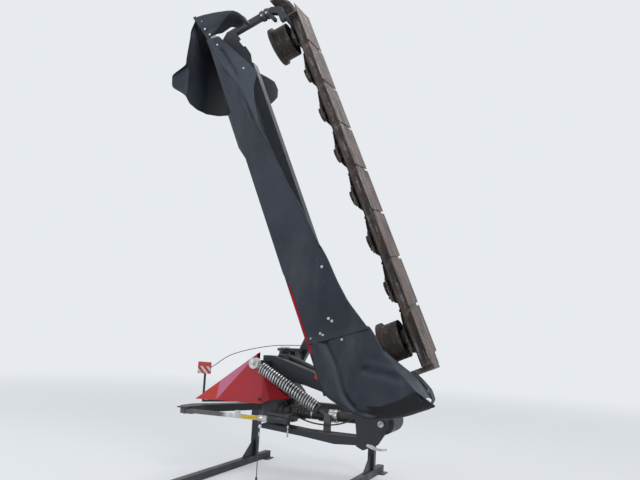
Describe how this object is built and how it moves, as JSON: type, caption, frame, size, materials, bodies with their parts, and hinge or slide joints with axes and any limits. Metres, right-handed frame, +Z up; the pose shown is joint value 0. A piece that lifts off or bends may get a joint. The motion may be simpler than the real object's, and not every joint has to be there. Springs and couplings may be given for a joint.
{
  "type": "rear mounted disc mower",
  "caption": "Disc mower for a three-point hitch, folded upright for transport: side-hung cutter bar under a curtained canopy, with swing arm, spring, lift cylinder and parking legs.",
  "frame": {"origin": "midway between the two lower hitch pins", "axes": "+X to the right of travel, along the lower hitch pins; +Y forward, in the direction of travel; +Z up. The floor is at Z = -0.6 m."},
  "size_m": [2.5748, 1.9703, 4.1275],
  "materials": {
    "red_paint": "gloss",
    "dark_paint": "satin, dusty",
    "rusty_steel": "worn and rusted",
    "worn_steel": "worn",
    "zinc_steel": "zinc plated",
    "cast_housing": "painted, dusty",
    "black_plastic": "matt",
    "curtain_fabric": "rubberised, dusty",
    "chrome_rod": "polished",
    "spring_steel": "satin",
    "hose_rubber": "matt",
    "rope_fibre": "twisted fibre",
    "marker_plastic": "red and white"
  },
  "bodies": {
    "headstock": {"hitch_frame": "dark_paint", "leg_sockets": "dark_paint", "mast": "dark_paint", "king_bracket": "dark_paint", "lower_link_pins": "zinc_steel", "king_pin": "zinc_steel", "outrigger": "dark_paint", "marker_bracket": "dark_paint", "marker_plate": "marker_plastic"},
    "link_bar_body": {"link_bar": "zinc_steel"},
    "link_sleeve_body": {"link_sleeve": "dark_paint", "pull_rope": "rope_fibre"},
    "left_leg": {"parking_leg_left": "dark_paint"},
    "right_leg": {"parking_leg_right": "dark_paint"},
    "swing": {"swing_arm": "dark_paint", "gearbox": "cast_housing", "input_shield": "black_plastic", "gearbox_guard": "red_paint", "drive_shaft_guard": "black_plastic", "pivot_gearbox": "cast_housing", "lower_brace": "dark_paint", "suspension_spring": "spring_steel", "spring_mounts": "zinc_steel", "lift_pin": "zinc_steel", "slack_hose": "hose_rubber", "transport_latch": "zinc_steel"},
    "input": {"input_shaft": "worn_steel"},
    "lift_barrel_body": {"lift_barrel": "dark_paint"},
    "lift_rod_body": {"lift_rod": "chrome_rod"},
    "mower": {"fold_pins": "zinc_steel", "mower_carrier": "dark_paint", "canopy_beam": "dark_paint", "canopy_ribs": "dark_paint", "front_rail": "dark_paint", "rear_rail": "red_paint", "head_gearbox": "cast_housing", "unit_shaft_guard": "black_plastic", "bar_bracket": "dark_paint", "cutter_bar": "rusty_steel", "skids": "rusty_steel", "outer_shoe": "rusty_steel", "outer_support": "dark_paint", "top_cloth": "curtain_fabric", "rear_curtain": "curtain_fabric", "front_curtain": "curtain_fabric", "inner_apron": "curtain_fabric", "flap_bracket": "dark_paint", "end_hood": "curtain_fabric"},
    "flap": {"outer_flap": "curtain_fabric"},
    "disc_1_body": {"disc_1": "worn_steel", "drum_inner": "rusty_steel"},
    "disc_2_body": {"disc_2": "worn_steel"},
    "disc_3_body": {"disc_3": "worn_steel"},
    "disc_4_body": {"disc_4": "worn_steel"},
    "disc_5_body": {"disc_5": "worn_steel"},
    "disc_6_body": {"disc_6": "worn_steel"},
    "disc_7_body": {"disc_7": "worn_steel"},
    "disc_8_body": {"disc_8": "worn_steel", "drum_outer": "rusty_steel"}
  },
  "joints": [
    {"name": "left_leg_slide", "type": "slide", "parent": "headstock", "child": "left_leg", "axis": [0, 0, 1], "range_m": [-0.2, 0]},
    {"name": "right_leg_slide", "type": "slide", "parent": "headstock", "child": "right_leg", "axis": [0, 0, 1], "range_m": [-0.2, 0]},
    {"name": "swing_back", "type": "hinge", "parent": "headstock", "child": "swing", "pos_m": [-0.18, -0.45, 0.33], "axis": [0, 0, 1], "range_deg": [-15, 0]},
    {"name": "link_turn", "type": "hinge", "parent": "headstock", "child": "link_bar_body", "pos_m": [-0.825, -1.06, -0.05], "axis": [0, 0, 1], "range_deg": [-5, 0]},
    {"name": "link_slide", "type": "slide", "parent": "link_bar_body", "child": "link_sleeve_body", "axis": [1, 0, 0], "range_m": [-0.168, 0]},
    {"name": "input_spin", "type": "hinge", "parent": "swing", "child": "input", "pos_m": [0, -0.56, 0.11], "axis": [0, 1, 0], "continuous": true},
    {"name": "fold", "type": "hinge", "parent": "swing", "child": "mower", "pos_m": [0.945, -0.85, 0], "axis": [0, 1, 0], "range_deg": [0, 113]},
    {"name": "lift_tilt", "type": "hinge", "parent": "swing", "child": "lift_barrel_body", "pos_m": [-0.1, -0.56, 0.44], "axis": [0, 1, 0], "range_deg": [-9, 0]},
    {"name": "lift_stroke", "type": "slide", "parent": "lift_barrel_body", "child": "lift_rod_body", "axis": [0.9423, 0, -0.3347], "range_m": [0, 0.481]},
    {"name": "flap_fold", "type": "hinge", "parent": "mower", "child": "flap", "pos_m": [-0.59328, -1.149, 3.21448], "axis": [0, 1, 0], "range_deg": [0, 235]},
    {"name": "disc_1_spin", "type": "hinge", "parent": "mower", "child": "disc_1_body", "pos_m": [1.17585, -1.13, 0.68462], "axis": [-0.9205, 0, -0.3907], "continuous": true},
    {"name": "disc_2_spin", "type": "hinge", "parent": "mower", "child": "disc_2_body", "pos_m": [1.01955, -1.13, 1.05283], "axis": [-0.9205, 0, -0.3907], "continuous": true},
    {"name": "disc_3_spin", "type": "hinge", "parent": "mower", "child": "disc_3_body", "pos_m": [0.86326, -1.13, 1.42103], "axis": [-0.9205, 0, -0.3907], "continuous": true},
    {"name": "disc_4_spin", "type": "hinge", "parent": "mower", "child": "disc_4_body", "pos_m": [0.70697, -1.13, 1.78923], "axis": [-0.9205, 0, -0.3907], "continuous": true},
    {"name": "disc_5_spin", "type": "hinge", "parent": "mower", "child": "disc_5_body", "pos_m": [0.55068, -1.13, 2.15743], "axis": [-0.9205, 0, -0.3907], "continuous": true},
    {"name": "disc_6_spin", "type": "hinge", "parent": "mower", "child": "disc_6_body", "pos_m": [0.39438, -1.13, 2.52563], "axis": [-0.9205, 0, -0.3907], "continuous": true},
    {"name": "disc_7_spin", "type": "hinge", "parent": "mower", "child": "disc_7_body", "pos_m": [0.23809, -1.13, 2.89384], "axis": [-0.9205, 0, -0.3907], "continuous": true},
    {"name": "disc_8_spin", "type": "hinge", "parent": "mower", "child": "disc_8_body", "pos_m": [0.0818, -1.13, 3.26204], "axis": [-0.9205, 0, -0.3907], "continuous": true}
  ],
  "couplings": [
    {"joint": "link_turn", "follows": "swing_back", "ratio": 0.3099},
    {"joint": "link_slide", "follows": "swing_back", "m_per_rad": 0.6364},
    {"joint": "lift_tilt", "follows": "fold", "ratio": -0.069246},
    {"joint": "lift_stroke", "follows": "fold", "m_per_rad": 0.24317},
    {"joint": "input_spin", "follows": "disc_1_spin", "ratio": 0.33333},
    {"joint": "disc_2_spin", "follows": "disc_1_spin", "ratio": -1},
    {"joint": "disc_3_spin", "follows": "disc_1_spin", "ratio": 1},
    {"joint": "disc_4_spin", "follows": "disc_1_spin", "ratio": -1},
    {"joint": "disc_5_spin", "follows": "disc_1_spin", "ratio": 1},
    {"joint": "disc_6_spin", "follows": "disc_1_spin", "ratio": -1},
    {"joint": "disc_7_spin", "follows": "disc_1_spin", "ratio": 1},
    {"joint": "disc_8_spin", "follows": "disc_1_spin", "ratio": -1}
  ]
}
